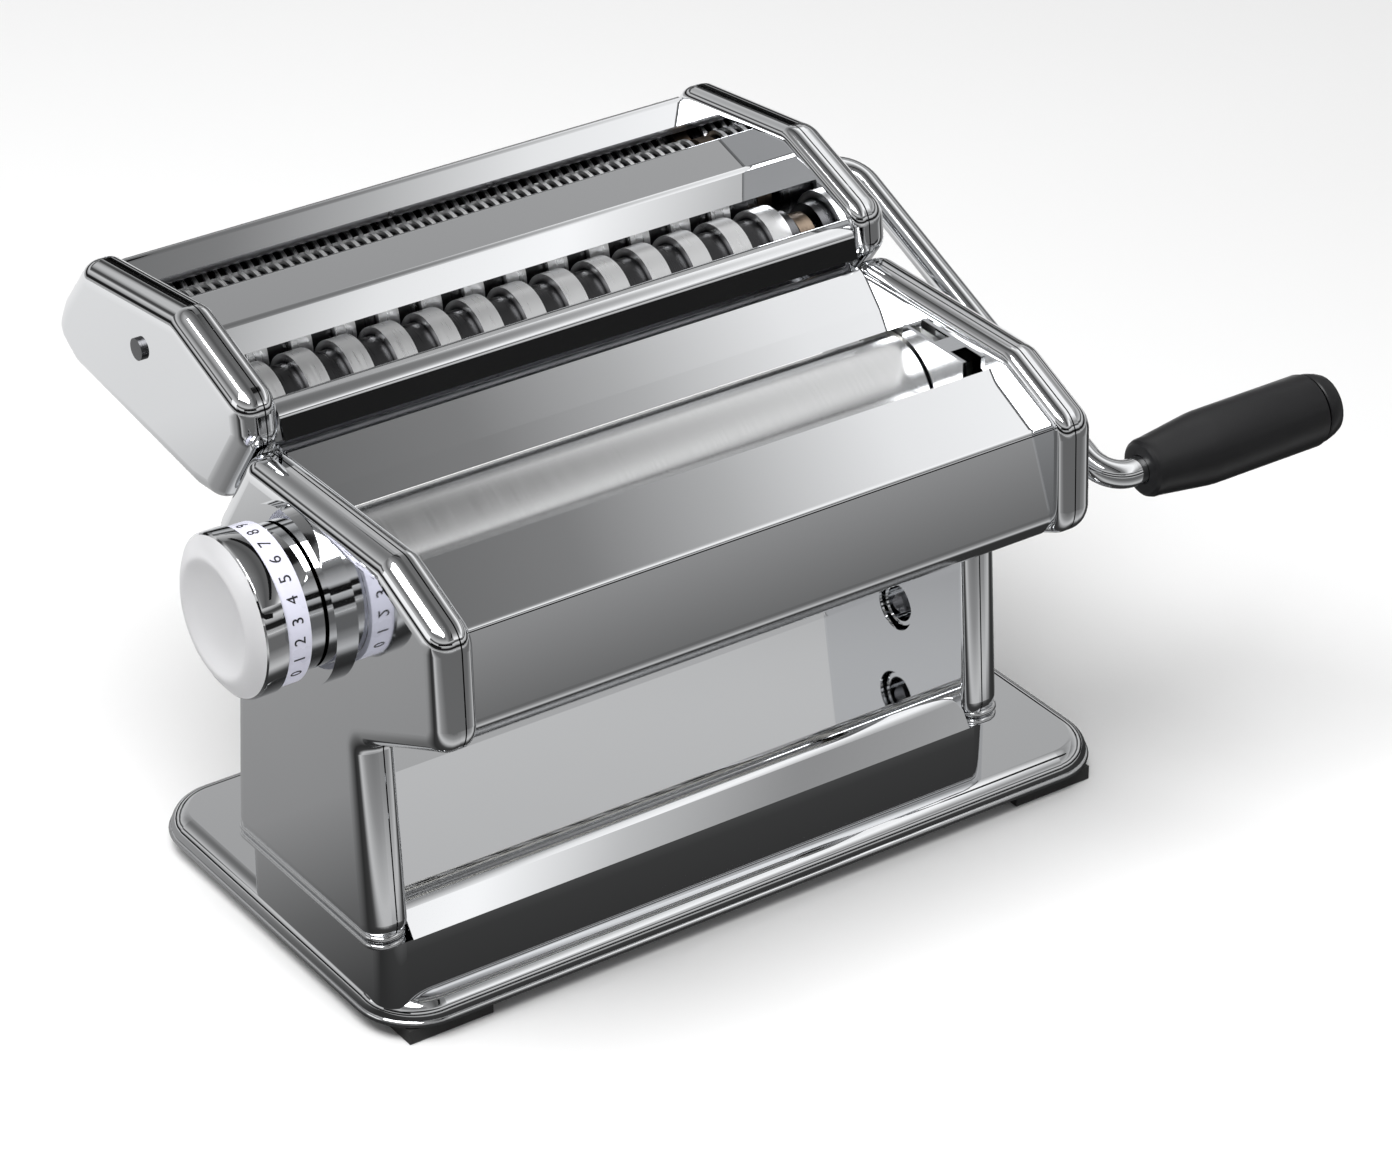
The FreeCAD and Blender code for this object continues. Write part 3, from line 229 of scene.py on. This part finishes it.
class PASTA_OT_finishes(bpy.types.Operator):
    """Gives every piece of the machine its finish; the cutting rollers get painted shade, near
    black, in the gaps between their rings
    """
    bl_idname = "pasta.finishes"
    bl_label = "Finishes"

    def execute(self, context):
        metals = context.scene.pasta_metal
        mirror = tuple(metals.mirror_tint)
        satin = tuple(metals.satin_tint)
        FINISHES["steel_mirror"] = metal("polished sheet steel", mirror, metals.mirror_rough,
                                         0.015, 14, (1, 1, 1))
        FINISHES["chrome"] = metal("bright chrome plate", mirror, 0.035, 0.015, 30, (1, 1, 1))
        FINISHES["roller_satin"] = metal("turned roller", satin, metals.satin_rough, 0.03, 160,
                                         (20, 0.3, 0.3), 0.025)
        FINISHES["cutter_satin"] = metal("turned cutter", satin, 0.28, 0.04, 200,
                                         (8, 0.5, 0.5), 0.03)
        FINISHES["knob_satin"] = metal("satin knob face", (0.74, 0.74, 0.755), 0.36, 0.03, 60,
                                       (1, 1, 1))
        FINISHES["knob_satin"].node_tree.nodes["Principled BSDF"].inputs[
            "Metallic"].default_value = 0.35
        FINISHES["gear_steel"] = metal("plated gear steel", (0.5, 0.5, 0.52), 0.34, 0.08, 90,
                                       (1, 1, 1), 0.1)
        FINISHES["bearing_bronze"] = metal("oiled bronze", (0.13, 0.1, 0.075), 0.4, 0.08, 90,
                                           (1, 1, 1), 0.1)
        FINISHES["bearing_plastic"] = plastic("milky bearing plastic", (0.74, 0.73, 0.69), 0.42,
                                              0.06, 60, 0.1)
        FINISHES["number_white"] = plastic("number ring plastic", (0.74, 0.74, 0.86), 0.3, 0.05,
                                           120, 0.05)
        FINISHES["grip_black"] = plastic("black grip plastic", tuple(context.scene.pasta_grip.tint),
                                         0.36, 0.05, 160, 0.25)
        FINISHES["foot_rubber"] = plastic("foot rubber", (0.03, 0.03, 0.03), 0.75, 0.08, 200, 0.5)
        FINISHES["number_ink"] = plastic("number ink", (0.015, 0.015, 0.02), 0.45, 0.05, 200, 0.05)
        FINISHES["dark_screw"] = metal("blackened screw steel", (0.1, 0.1, 0.105), 0.3, 0.06, 90,
                                       (1, 1, 1), 0.1)
        special = {"cap_screws": "dark_screw"}
        # the cutting rollers get painted shade in the gaps between their rings
        for name in ("wide_roller", "wide_drive_roller", "fine_roller", "fine_drive_roller"):
            ringed(name, GAP_SHADE_SHARE, satin)
            special[name] = name
        for entry in RECORD["subparts"]:
            node = frame["nodes"][entry["node"]]
            finish = special.get(entry["node"], entry["material_slot"])
            node.data.materials.clear()
            node.data.materials.append(FINISHES[finish])
        return {"FINISHED"}


# ---------------------------------------------------------------------------
# Modelling helpers
# ---------------------------------------------------------------------------
def deselect():
    bpy.ops.object.select_all(action="DESELECT")


def settle(piece, body, finish, smooth_angle=35):
    """Fix a finished piece's place in its mesh and hang it on its body."""
    deselect()
    piece.select_set(True)
    bpy.context.view_layer.objects.active = piece
    bpy.ops.object.transform_apply(location=True, rotation=True, scale=True)
    bpy.ops.object.shade_smooth_by_angle(angle=math.radians(smooth_angle))
    piece.data.materials.clear()
    piece.data.materials.append(FINISHES[finish])
    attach(piece, body)


def axis_of(node):
    """Middle of a round node, from its box."""
    low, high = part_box(node)
    return (low + high) / 2


class PASTA_OT_numbers(bpy.types.Operator):
    """Prints the thickness numbers round the knob's ring"""
    bl_idname = "pasta.numbers"
    bl_label = "Knob numbers"

    def execute(self, context):
        settings = context.scene.pasta_number
        low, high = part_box("number_ring")
        middle = axis_of("number_ring")
        radius = (high.z - low.z) / 2
        for index in range(10):
            angle = math.radians(90) - (8 - index) * settings.pitch
            deselect()
            bpy.ops.object.text_add(location=(0, 0, 0))
            digit = bpy.context.object
            digit.data.body = str(index)
            digit.data.size = settings.height
            digit.data.align_x = "CENTER"
            digit.data.align_y = "CENTER"
            digit.data.extrude = 0.06 * MM
            digit.data.resolution_u = 4
            bpy.ops.object.convert(target="MESH")
            digit = bpy.context.object
            digit.name = "number_%d" % index
            # the digit's top points towards the knob's face, its front away from the axis
            out = Vector((0, -math.cos(angle), math.sin(angle)))
            up = Vector((-1, 0, 0))
            right = up.cross(out)
            for vertex in digit.data.vertices:
                local = vertex.co.copy()
                bend = local.x / radius
                flat = math.cos(bend) * (radius + 0.02 * MM + local.z)
                side = math.sin(bend) * (radius + 0.02 * MM + local.z)
                point = out * flat + right * side + up * local.y
                vertex.co = point + Vector(middle)
            settle(digit, "knob", "number_ink")
        return {"FINISHED"}


class PASTA_OT_spring(bpy.types.Operator):
    """Winds the spring that holds the knob in"""
    bl_idname = "pasta.spring"
    bl_label = "Knob spring"

    def execute(self, context):
        low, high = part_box("knob_spring")
        middle = axis_of("knob_spring")
        wire = 0.45 * MM
        turns = 4
        coil_r = (high.z - low.z) / 2 - wire
        length = high.x - low.x - 2 * wire
        deselect()
        bpy.ops.mesh.primitive_circle_add(vertices=10, radius=wire, fill_type="NGON",
                                          location=(0, coil_r, 0), rotation=(0, math.pi / 2, 0))
        coil = bpy.context.object
        coil.name = "coil_spring"
        bpy.ops.object.transform_apply(location=True, rotation=True, scale=True)
        bpy.ops.object.modifier_add(type="SCREW")
        screw = coil.modifiers[-1]
        screw.axis = "X"
        screw.angle = 2 * math.pi * turns
        screw.screw_offset = length
        screw.steps = 24 * turns
        screw.render_steps = 24 * turns
        bpy.ops.object.modifier_apply(modifier=screw.name)
        coil.location = (low.x + wire, middle.y, middle.z)
        deselect()
        coil.select_set(True)
        bpy.context.view_layer.objects.active = coil
        bpy.ops.object.mode_set(mode="EDIT")
        bpy.ops.mesh.select_all(action="SELECT")
        bpy.ops.mesh.remove_doubles(threshold=0.00001)
        bpy.ops.mesh.normals_make_consistent(inside=False)
        bpy.ops.object.mode_set(mode="OBJECT")
        settle(coil, "knob_shaft", "gear_steel")
        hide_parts("knob_spring")
        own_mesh(coil)
        return {"FINISHED"}


def lathe(name, profile, centre, steps=96):
    """Spin a profile of (along, radius) points round an axis along X through the centre."""
    deselect()
    bpy.ops.mesh.primitive_plane_add(size=0.001, location=(0, 0, 0))
    piece = bpy.context.object
    piece.name = name
    bpy.ops.object.mode_set(mode="EDIT")
    bpy.ops.mesh.select_all(action="SELECT")
    bpy.ops.mesh.merge(type="CENTER")
    first = profile[0]
    bpy.ops.transform.translate(value=(first[0], 0, first[1]))
    for before, after in zip(profile, profile[1:]):
        step = (after[0] - before[0], 0, after[1] - before[1])
        bpy.ops.mesh.extrude_region_move(TRANSFORM_OT_translate={"value": step})
    bpy.ops.mesh.select_all(action="SELECT")
    bpy.ops.mesh.spin(steps=steps, angle=2 * math.pi, center=(0, 0, 0), axis=(1, 0, 0))
    bpy.ops.mesh.select_all(action="SELECT")
    bpy.ops.mesh.remove_doubles(threshold=0.00001)
    bpy.ops.mesh.normals_make_consistent(inside=False)
    bpy.ops.object.mode_set(mode="OBJECT")
    piece.location = centre
    return piece


class PASTA_OT_knob(bpy.types.Operator):
    """Turns the knob's dished cap"""
    bl_idname = "pasta.knob"
    bl_label = "Knob cap"

    def execute(self, context):
        low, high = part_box("knob_cap")
        middle = axis_of("knob_cap")
        radius = (high.z - low.z) / 2
        depth = high.x - low.x
        rim = 0.0005
        dish = [(-depth + 2.3 * MM, 0), (-depth + 2.2 * MM, radius * 0.30),
                (-depth + 1.8 * MM, radius * 0.46), (-depth + 1.1 * MM, radius * 0.58),
                (-depth + 0.4 * MM, radius * 0.665), (-depth + 0.1 * MM, radius * 0.70),
                (-depth, radius * 0.735), (-depth + 0.2 * MM, radius * 0.78),
                (-depth + 1.5 * MM, radius * 0.885), (-depth + 2.9 * MM, radius * 0.972)]
        face = lathe("knob_face", dish, (high.x, middle.y, middle.z))
        settle(face, "knob", "knob_satin", 28)
        profile = [(-depth + 2.9 * MM, radius * 0.972),
                   (-depth + 3.3 * MM, radius * 0.992), (-depth + 3.8 * MM, radius),
                   (-rim, radius), (0, radius - rim), (0, radius * 0.45),
                   (-3 * MM, radius * 0.45), (-3 * MM, 0)]
        cap = lathe("knob_cap_turned", profile, (high.x, middle.y, middle.z))
        settle(cap, "knob", "chrome", 28)
        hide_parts("knob_cap")
        return {"FINISHED"}


class PASTA_OT_grip(bpy.types.Operator):
    """Turns the crank's grip and its end cap"""
    bl_idname = "pasta.grip"
    bl_label = "Crank grip"

    def execute(self, context):
        low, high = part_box("crank_grip")
        middle = axis_of("crank_grip")
        radius = (high.z - low.z) / 2
        length = high.x - low.x
        nose = radius * 0.79
        bore = 4.15 * MM
        inner = 7.2 * MM
        profile = [(0, bore), (0, nose * 0.72), (0.3 * MM, nose * 0.86), (1.0 * MM, nose * 0.96),
                   (2.0 * MM, nose), (3.5 * MM, nose * 1.005), (10 * MM, nose * 1.10),
                   (16 * MM, nose * 1.19), (20 * MM, radius * 0.985), (22.5 * MM, radius),
                   (length - 1.0 * MM, radius), (length - 0.4 * MM, radius * 0.985),
                   (length, radius * 0.95), (length, inner), (50 * MM, inner), (50 * MM, bore),
                   (0, bore)]
        grip = lathe("grip_turned", profile, (low.x, middle.y, middle.z), 72)
        settle(grip, "grip", "grip_black", 25)
        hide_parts("crank_grip")
        low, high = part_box("grip_cap")
        cap_r = (high.z - low.z) / 2
        gap = context.scene.pasta_grip.gap
        shoulder = 3 * MM
        depth = high.x - low.x
        profile = [(0, 0), (0, 6.9 * MM), (shoulder, 6.9 * MM), (shoulder + gap, 6.9 * MM),
                   (shoulder + gap, cap_r * 0.965), (shoulder + gap + 0.3 * MM, cap_r * 0.995),
                   (shoulder + gap + 1.0 * MM, cap_r), (depth - 2.6 * MM, cap_r * 0.93),
                   (depth - 1.0 * MM, cap_r * 0.86), (depth - 0.3 * MM, cap_r * 0.77),
                   (depth, cap_r * 0.66), (depth, 0)]
        cap = lathe("grip_cap_turned", profile, (low.x, middle.y, middle.z), 72)
        settle(cap, "grip", "grip_black", 25)
        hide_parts("grip_cap")
        return {"FINISHED"}


def bead(name, low, high, height, corner, thickness, body):
    """A rolled bead round a rounded rectangle at one height."""
    deselect()
    middle = ((low[0] + high[0]) / 2, (low[1] + high[1]) / 2, height)
    bpy.ops.mesh.primitive_plane_add(size=1, location=middle)
    ring = bpy.context.object
    ring.name = name
    ring.scale = (high[0] - low[0], high[1] - low[1], 1)
    bpy.ops.object.transform_apply(location=True, rotation=True, scale=True)
    bpy.ops.object.mode_set(mode="EDIT")
    bpy.ops.mesh.select_all(action="SELECT")
    bpy.ops.mesh.bevel(offset=corner, segments=12, affect="VERTICES")
    bpy.ops.mesh.delete(type="ONLY_FACE")
    bpy.ops.object.mode_set(mode="OBJECT")
    bpy.ops.object.convert(target="CURVE")
    ring = bpy.context.object
    ring.data.bevel_depth = thickness
    ring.data.bevel_resolution = 5
    bpy.ops.object.convert(target="MESH")
    ring = bpy.context.object
    settle(ring, body, "steel_mirror", 60)
    return ring


class PASTA_OT_beads(bpy.types.Operator):
    """Rolls the beads round the base's edge and the feet of the legs"""
    bl_idname = "pasta.beads"
    bl_label = "Rolled beads"

    def execute(self, context):
        low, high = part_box("base_tray")
        inset = 0.35 * MM
        bead("base_rim_bead", (low.x + inset, low.y + inset), (high.x - inset, high.y - inset),
             low.z + 1.15 * MM, 16.6 * MM, 1.1 * MM, "stand")
        foot = high.z
        for name in ("left_cover", "right_cover"):
            cover_low, cover_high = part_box(name)
            frame_low, frame_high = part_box(name.replace("cover", "frame"))
            left = min(cover_low.x, frame_low.x)
            right = max(cover_high.x, frame_high.x)
            foot_depths = [vertex.co.y for vertex in frame["nodes"][name].data.vertices
                           if vertex.co.z < foot + 8 * MM]
            front, back = min(foot_depths), max(foot_depths)
            for index, rise in enumerate((0.3, 2.7)):
                bead("%s_foot_bead_%d" % (name.split("_")[0], index),
                     (left + 0.9 * MM, front + 0.5 * MM), (right - 0.9 * MM, back - 0.5 * MM),
                     foot + rise * MM, 4.5 * MM, 0.95 * MM, "stand")
        return {"FINISHED"}


# ---------------------------------------------------------------------------
# Studio
# ---------------------------------------------------------------------------
MACHINE_MIDDLE = (0, 0, 0.09)
# brightness by height, from straight below to straight above
AIR_BANDS = (
    (0.0, 0.5), (0.495, 0.5), (0.505, 0.02), (0.56, 0.015), (0.585, 0.5), (0.64, 0.85),
    (0.665, 0.1), (0.69, 0.08), (0.72, 0.75), (0.78, 0.5), (0.84, 0.2), (0.92, 0.6),
    (1.0, 0.75))
# brightness from the front of the floor to its back
GROUND_BANDS = (
    (0, 0.5), (0.15, 0.3), (0.24, 0.15), (0.39, 0.15), (0.425, 0.3), (0.448, 0.6),
    (0.462, 0.05), (0.48, 0.03), (0.50, 0.14), (0.52, 0.3), (0.546, 0.34), (0.575, 0.5),
    (0.604, 0.8), (0.70, 0.9), (1, 0.95))
# brightness from the left of the overhead panel to its right
SKY_BANDS = (
    (0, 0.35), (0.22, 0.1), (0.32, 0.16), (0.40, 0.24), (0.46, 0.5), (0.53, 0.95),
    (0.62, 1.15), (0.70, 0.6), (0.80, 0.3), (1, 0.5))


def glow(name, strength):
    """An evenly bright surface for a light or dark panel."""
    material = bpy.data.materials.new(name)
    material.use_nodes = True
    tree = material.node_tree
    tree.nodes.clear()
    out = tree.nodes.new("ShaderNodeOutputMaterial")
    light = tree.nodes.new("ShaderNodeEmission")
    light.inputs["Color"].default_value = grey(1) + (1,)
    light.inputs["Strength"].default_value = strength
    tree.links.new(light.outputs["Emission"], out.inputs["Surface"])
    return material


def card(name, material, centre, size, facing=None):
    """A flat panel that shows only in reflections, lying flat or turned towards a point."""
    deselect()
    bpy.ops.mesh.primitive_plane_add(size=1, location=centre)
    panel = bpy.context.object
    panel.name = name
    panel.scale = (size[0], size[1], 1)
    if facing is not None:
        towards = Vector(facing) - Vector(centre)
        panel.rotation_euler = towards.to_track_quat("Z", "Y").to_euler()
    panel.data.materials.append(material)
    panel.visible_camera = False
    panel.visible_shadow = False
    panel.visible_diffuse = False
    return panel


def fill_bands(bands, stops):
    """Give a colour ramp its grey stops, as (place, brightness) from first to last."""
    elements = bands.color_ramp.elements
    for element, (at, value) in zip((elements[0], elements[1]), (stops[0], stops[-1])):
        element.position = at
        element.color = grey(value) + (1,)
    for at, value in stops[1:-1]:
        elements.new(at).color = grey(value) + (1,)


def banded(name, axis, stops):
    """A reflector whose brightness changes in soft bands across one of its sides."""
    material = bpy.data.materials.new(name)
    material.use_nodes = True
    tree = material.node_tree
    tree.nodes.clear()
    place = tree.nodes.new("ShaderNodeTexCoord")
    split = tree.nodes.new("ShaderNodeSeparateXYZ")
    bands = tree.nodes.new("ShaderNodeValToRGB")
    light = tree.nodes.new("ShaderNodeEmission")
    out = tree.nodes.new("ShaderNodeOutputMaterial")
    tree.links.new(place.outputs["UV"], split.inputs["Vector"])
    tree.links.new(split.outputs[axis], bands.inputs["Fac"])
    tree.links.new(bands.outputs["Color"], light.inputs["Color"])
    tree.links.new(light.outputs["Emission"], out.inputs["Surface"])
    fill_bands(bands, stops)
    return material


class PASTA_OT_studio(bpy.types.Operator):
    """Sets the floor, the light panels, the dark panels and the camera"""
    bl_idname = "pasta.studio"
    bl_label = "Studio"

    def execute(self, context):
        studio = context.scene.pasta_studio
        deselect()
        bpy.ops.mesh.primitive_plane_add(size=6, location=(0, 0, -0.0002))
        floor = bpy.context.object
        floor.name = "studio_floor"
        material, tree, shader = node_tree("pale studio floor")
        pattern = noise(tree, 4, (1, 1, 1))
        colours = ramp(tree, pattern, tuple(0.985 * c for c in studio.floor), studio.floor)
        tree.links.new(colours.outputs["Color"], shader.inputs["Base Color"])
        shader.inputs["Roughness"].default_value = 0.6
        shader.inputs["Specular IOR Level"].default_value = 0.2
        floor.data.materials.append(material)

        world = bpy.data.worlds.new("studio air")
        context.scene.world = world
        world.use_nodes = True
        tree = world.node_tree
        air = tree.nodes["Background"]
        place = tree.nodes.new("ShaderNodeTexCoord")
        split = tree.nodes.new("ShaderNodeSeparateXYZ")
        bands = tree.nodes.new("ShaderNodeValToRGB")
        tree.links.new(place.outputs["Generated"], split.inputs["Vector"])
        rescale = tree.nodes.new("ShaderNodeMapRange")
        rescale.inputs["From Min"].default_value = -1.0
        rescale.inputs["From Max"].default_value = 1.0
        tree.links.new(split.outputs["Z"], rescale.inputs["Value"])
        tree.links.new(rescale.outputs["Result"], bands.inputs["Fac"])
        fill_bands(bands, AIR_BANDS)
        tree.links.new(bands.outputs["Color"], air.inputs["Color"])
        air.inputs["Strength"].default_value = 0.8

        ground = banded("floor reflection", "Y", GROUND_BANDS)
        card("floor_reflector", ground, (0, 0, 0.0005), (2.6, 2.6))
        sky = banded("sky reflection", "X", SKY_BANDS)
        card("sky_reflector", sky, (0.4, -0.3, 0.75), (1.2, 1.8))
        card("panel_left", glow("left light panel", 1.1), (-1.1, 0.25, 0.5), (0.5, 0.3),
             MACHINE_MIDDLE)
        black = glow("black felt panel", 0.008)
        card("felt_front", black, (-0.5, -1.2, 0.55), (1.6, 0.16), MACHINE_MIDDLE)
        card("felt_back", black, (0.75, 1.0, 0.50), (1.6, 0.12), MACHINE_MIDDLE)
        card("felt_left", black, (-1.0, -0.5, 0.30), (0.9, 0.14), MACHINE_MIDDLE)
        card("felt_edge", black, (0.16, -0.1, 0.748), (0.05, 1.6), (0.16, -0.1, 0))

        deselect()
        bpy.ops.object.light_add(type="AREA", location=(-0.45, -0.25, 1.3))
        lamp = bpy.context.object
        lamp.name = "overhead_light"
        lamp.data.energy = studio.key
        lamp.data.shape = "RECTANGLE"
        lamp.data.size = 1.2
        lamp.data.size_y = 0.8
        towards = Vector(MACHINE_MIDDLE) - lamp.location
        lamp.rotation_euler = towards.to_track_quat("-Z", "Y").to_euler()

        deselect()
        bpy.ops.object.camera_add(location=(-0.6401, -0.9800, 0.7652),
                                  rotation=(math.radians(59.67), 0, math.radians(-34.76)))
        camera = bpy.context.object
        camera.name = "studio_camera"
        camera.data.lens = studio.lens
        camera.data.sensor_width = 36
        camera.data.clip_end = 50
        context.scene.camera = camera
        context.scene.view_settings.view_transform = "Standard"
        context.scene.view_settings.look = "None"
        return {"FINISHED"}


class PASTA_PT_panel(bpy.types.Panel):
    """Lists the steps that build the scene"""
    bl_idname = "PASTA_PT_panel"
    bl_label = "Pasta machine"
    bl_space_type = "VIEW_3D"
    bl_region_type = "UI"
    bl_category = "Pasta"

    def draw(self, context):
        for step in STEPS:
            self.layout.operator(step.bl_idname)


STEPS = (PASTA_OT_finishes, PASTA_OT_numbers, PASTA_OT_spring, PASTA_OT_knob,
         PASTA_OT_grip, PASTA_OT_beads, PASTA_OT_studio)
GROUPS = (("pasta_metal", MetalSettings), ("pasta_grip", GripSettings),
          ("pasta_number", NumberSettings), ("pasta_studio", StudioSettings))


def register():
    for name, group in GROUPS:
        bpy.utils.register_class(group)
        setattr(bpy.types.Scene, name, bpy.props.PointerProperty(type=group))
    for step in STEPS:
        bpy.utils.register_class(step)
    bpy.utils.register_class(PASTA_PT_panel)


def unregister():
    bpy.utils.unregister_class(PASTA_PT_panel)
    for step in reversed(STEPS):
        bpy.utils.unregister_class(step)
    for name, group in reversed(GROUPS):
        delattr(bpy.types.Scene, name)
        bpy.utils.unregister_class(group)


def main():
    register()
    bpy.ops.pasta.finishes()
    bpy.ops.pasta.numbers()
    bpy.ops.pasta.spring()
    bpy.ops.pasta.knob()
    bpy.ops.pasta.grip()
    bpy.ops.pasta.beads()
    bpy.ops.pasta.studio()


if __name__ == "__main__":
    main()
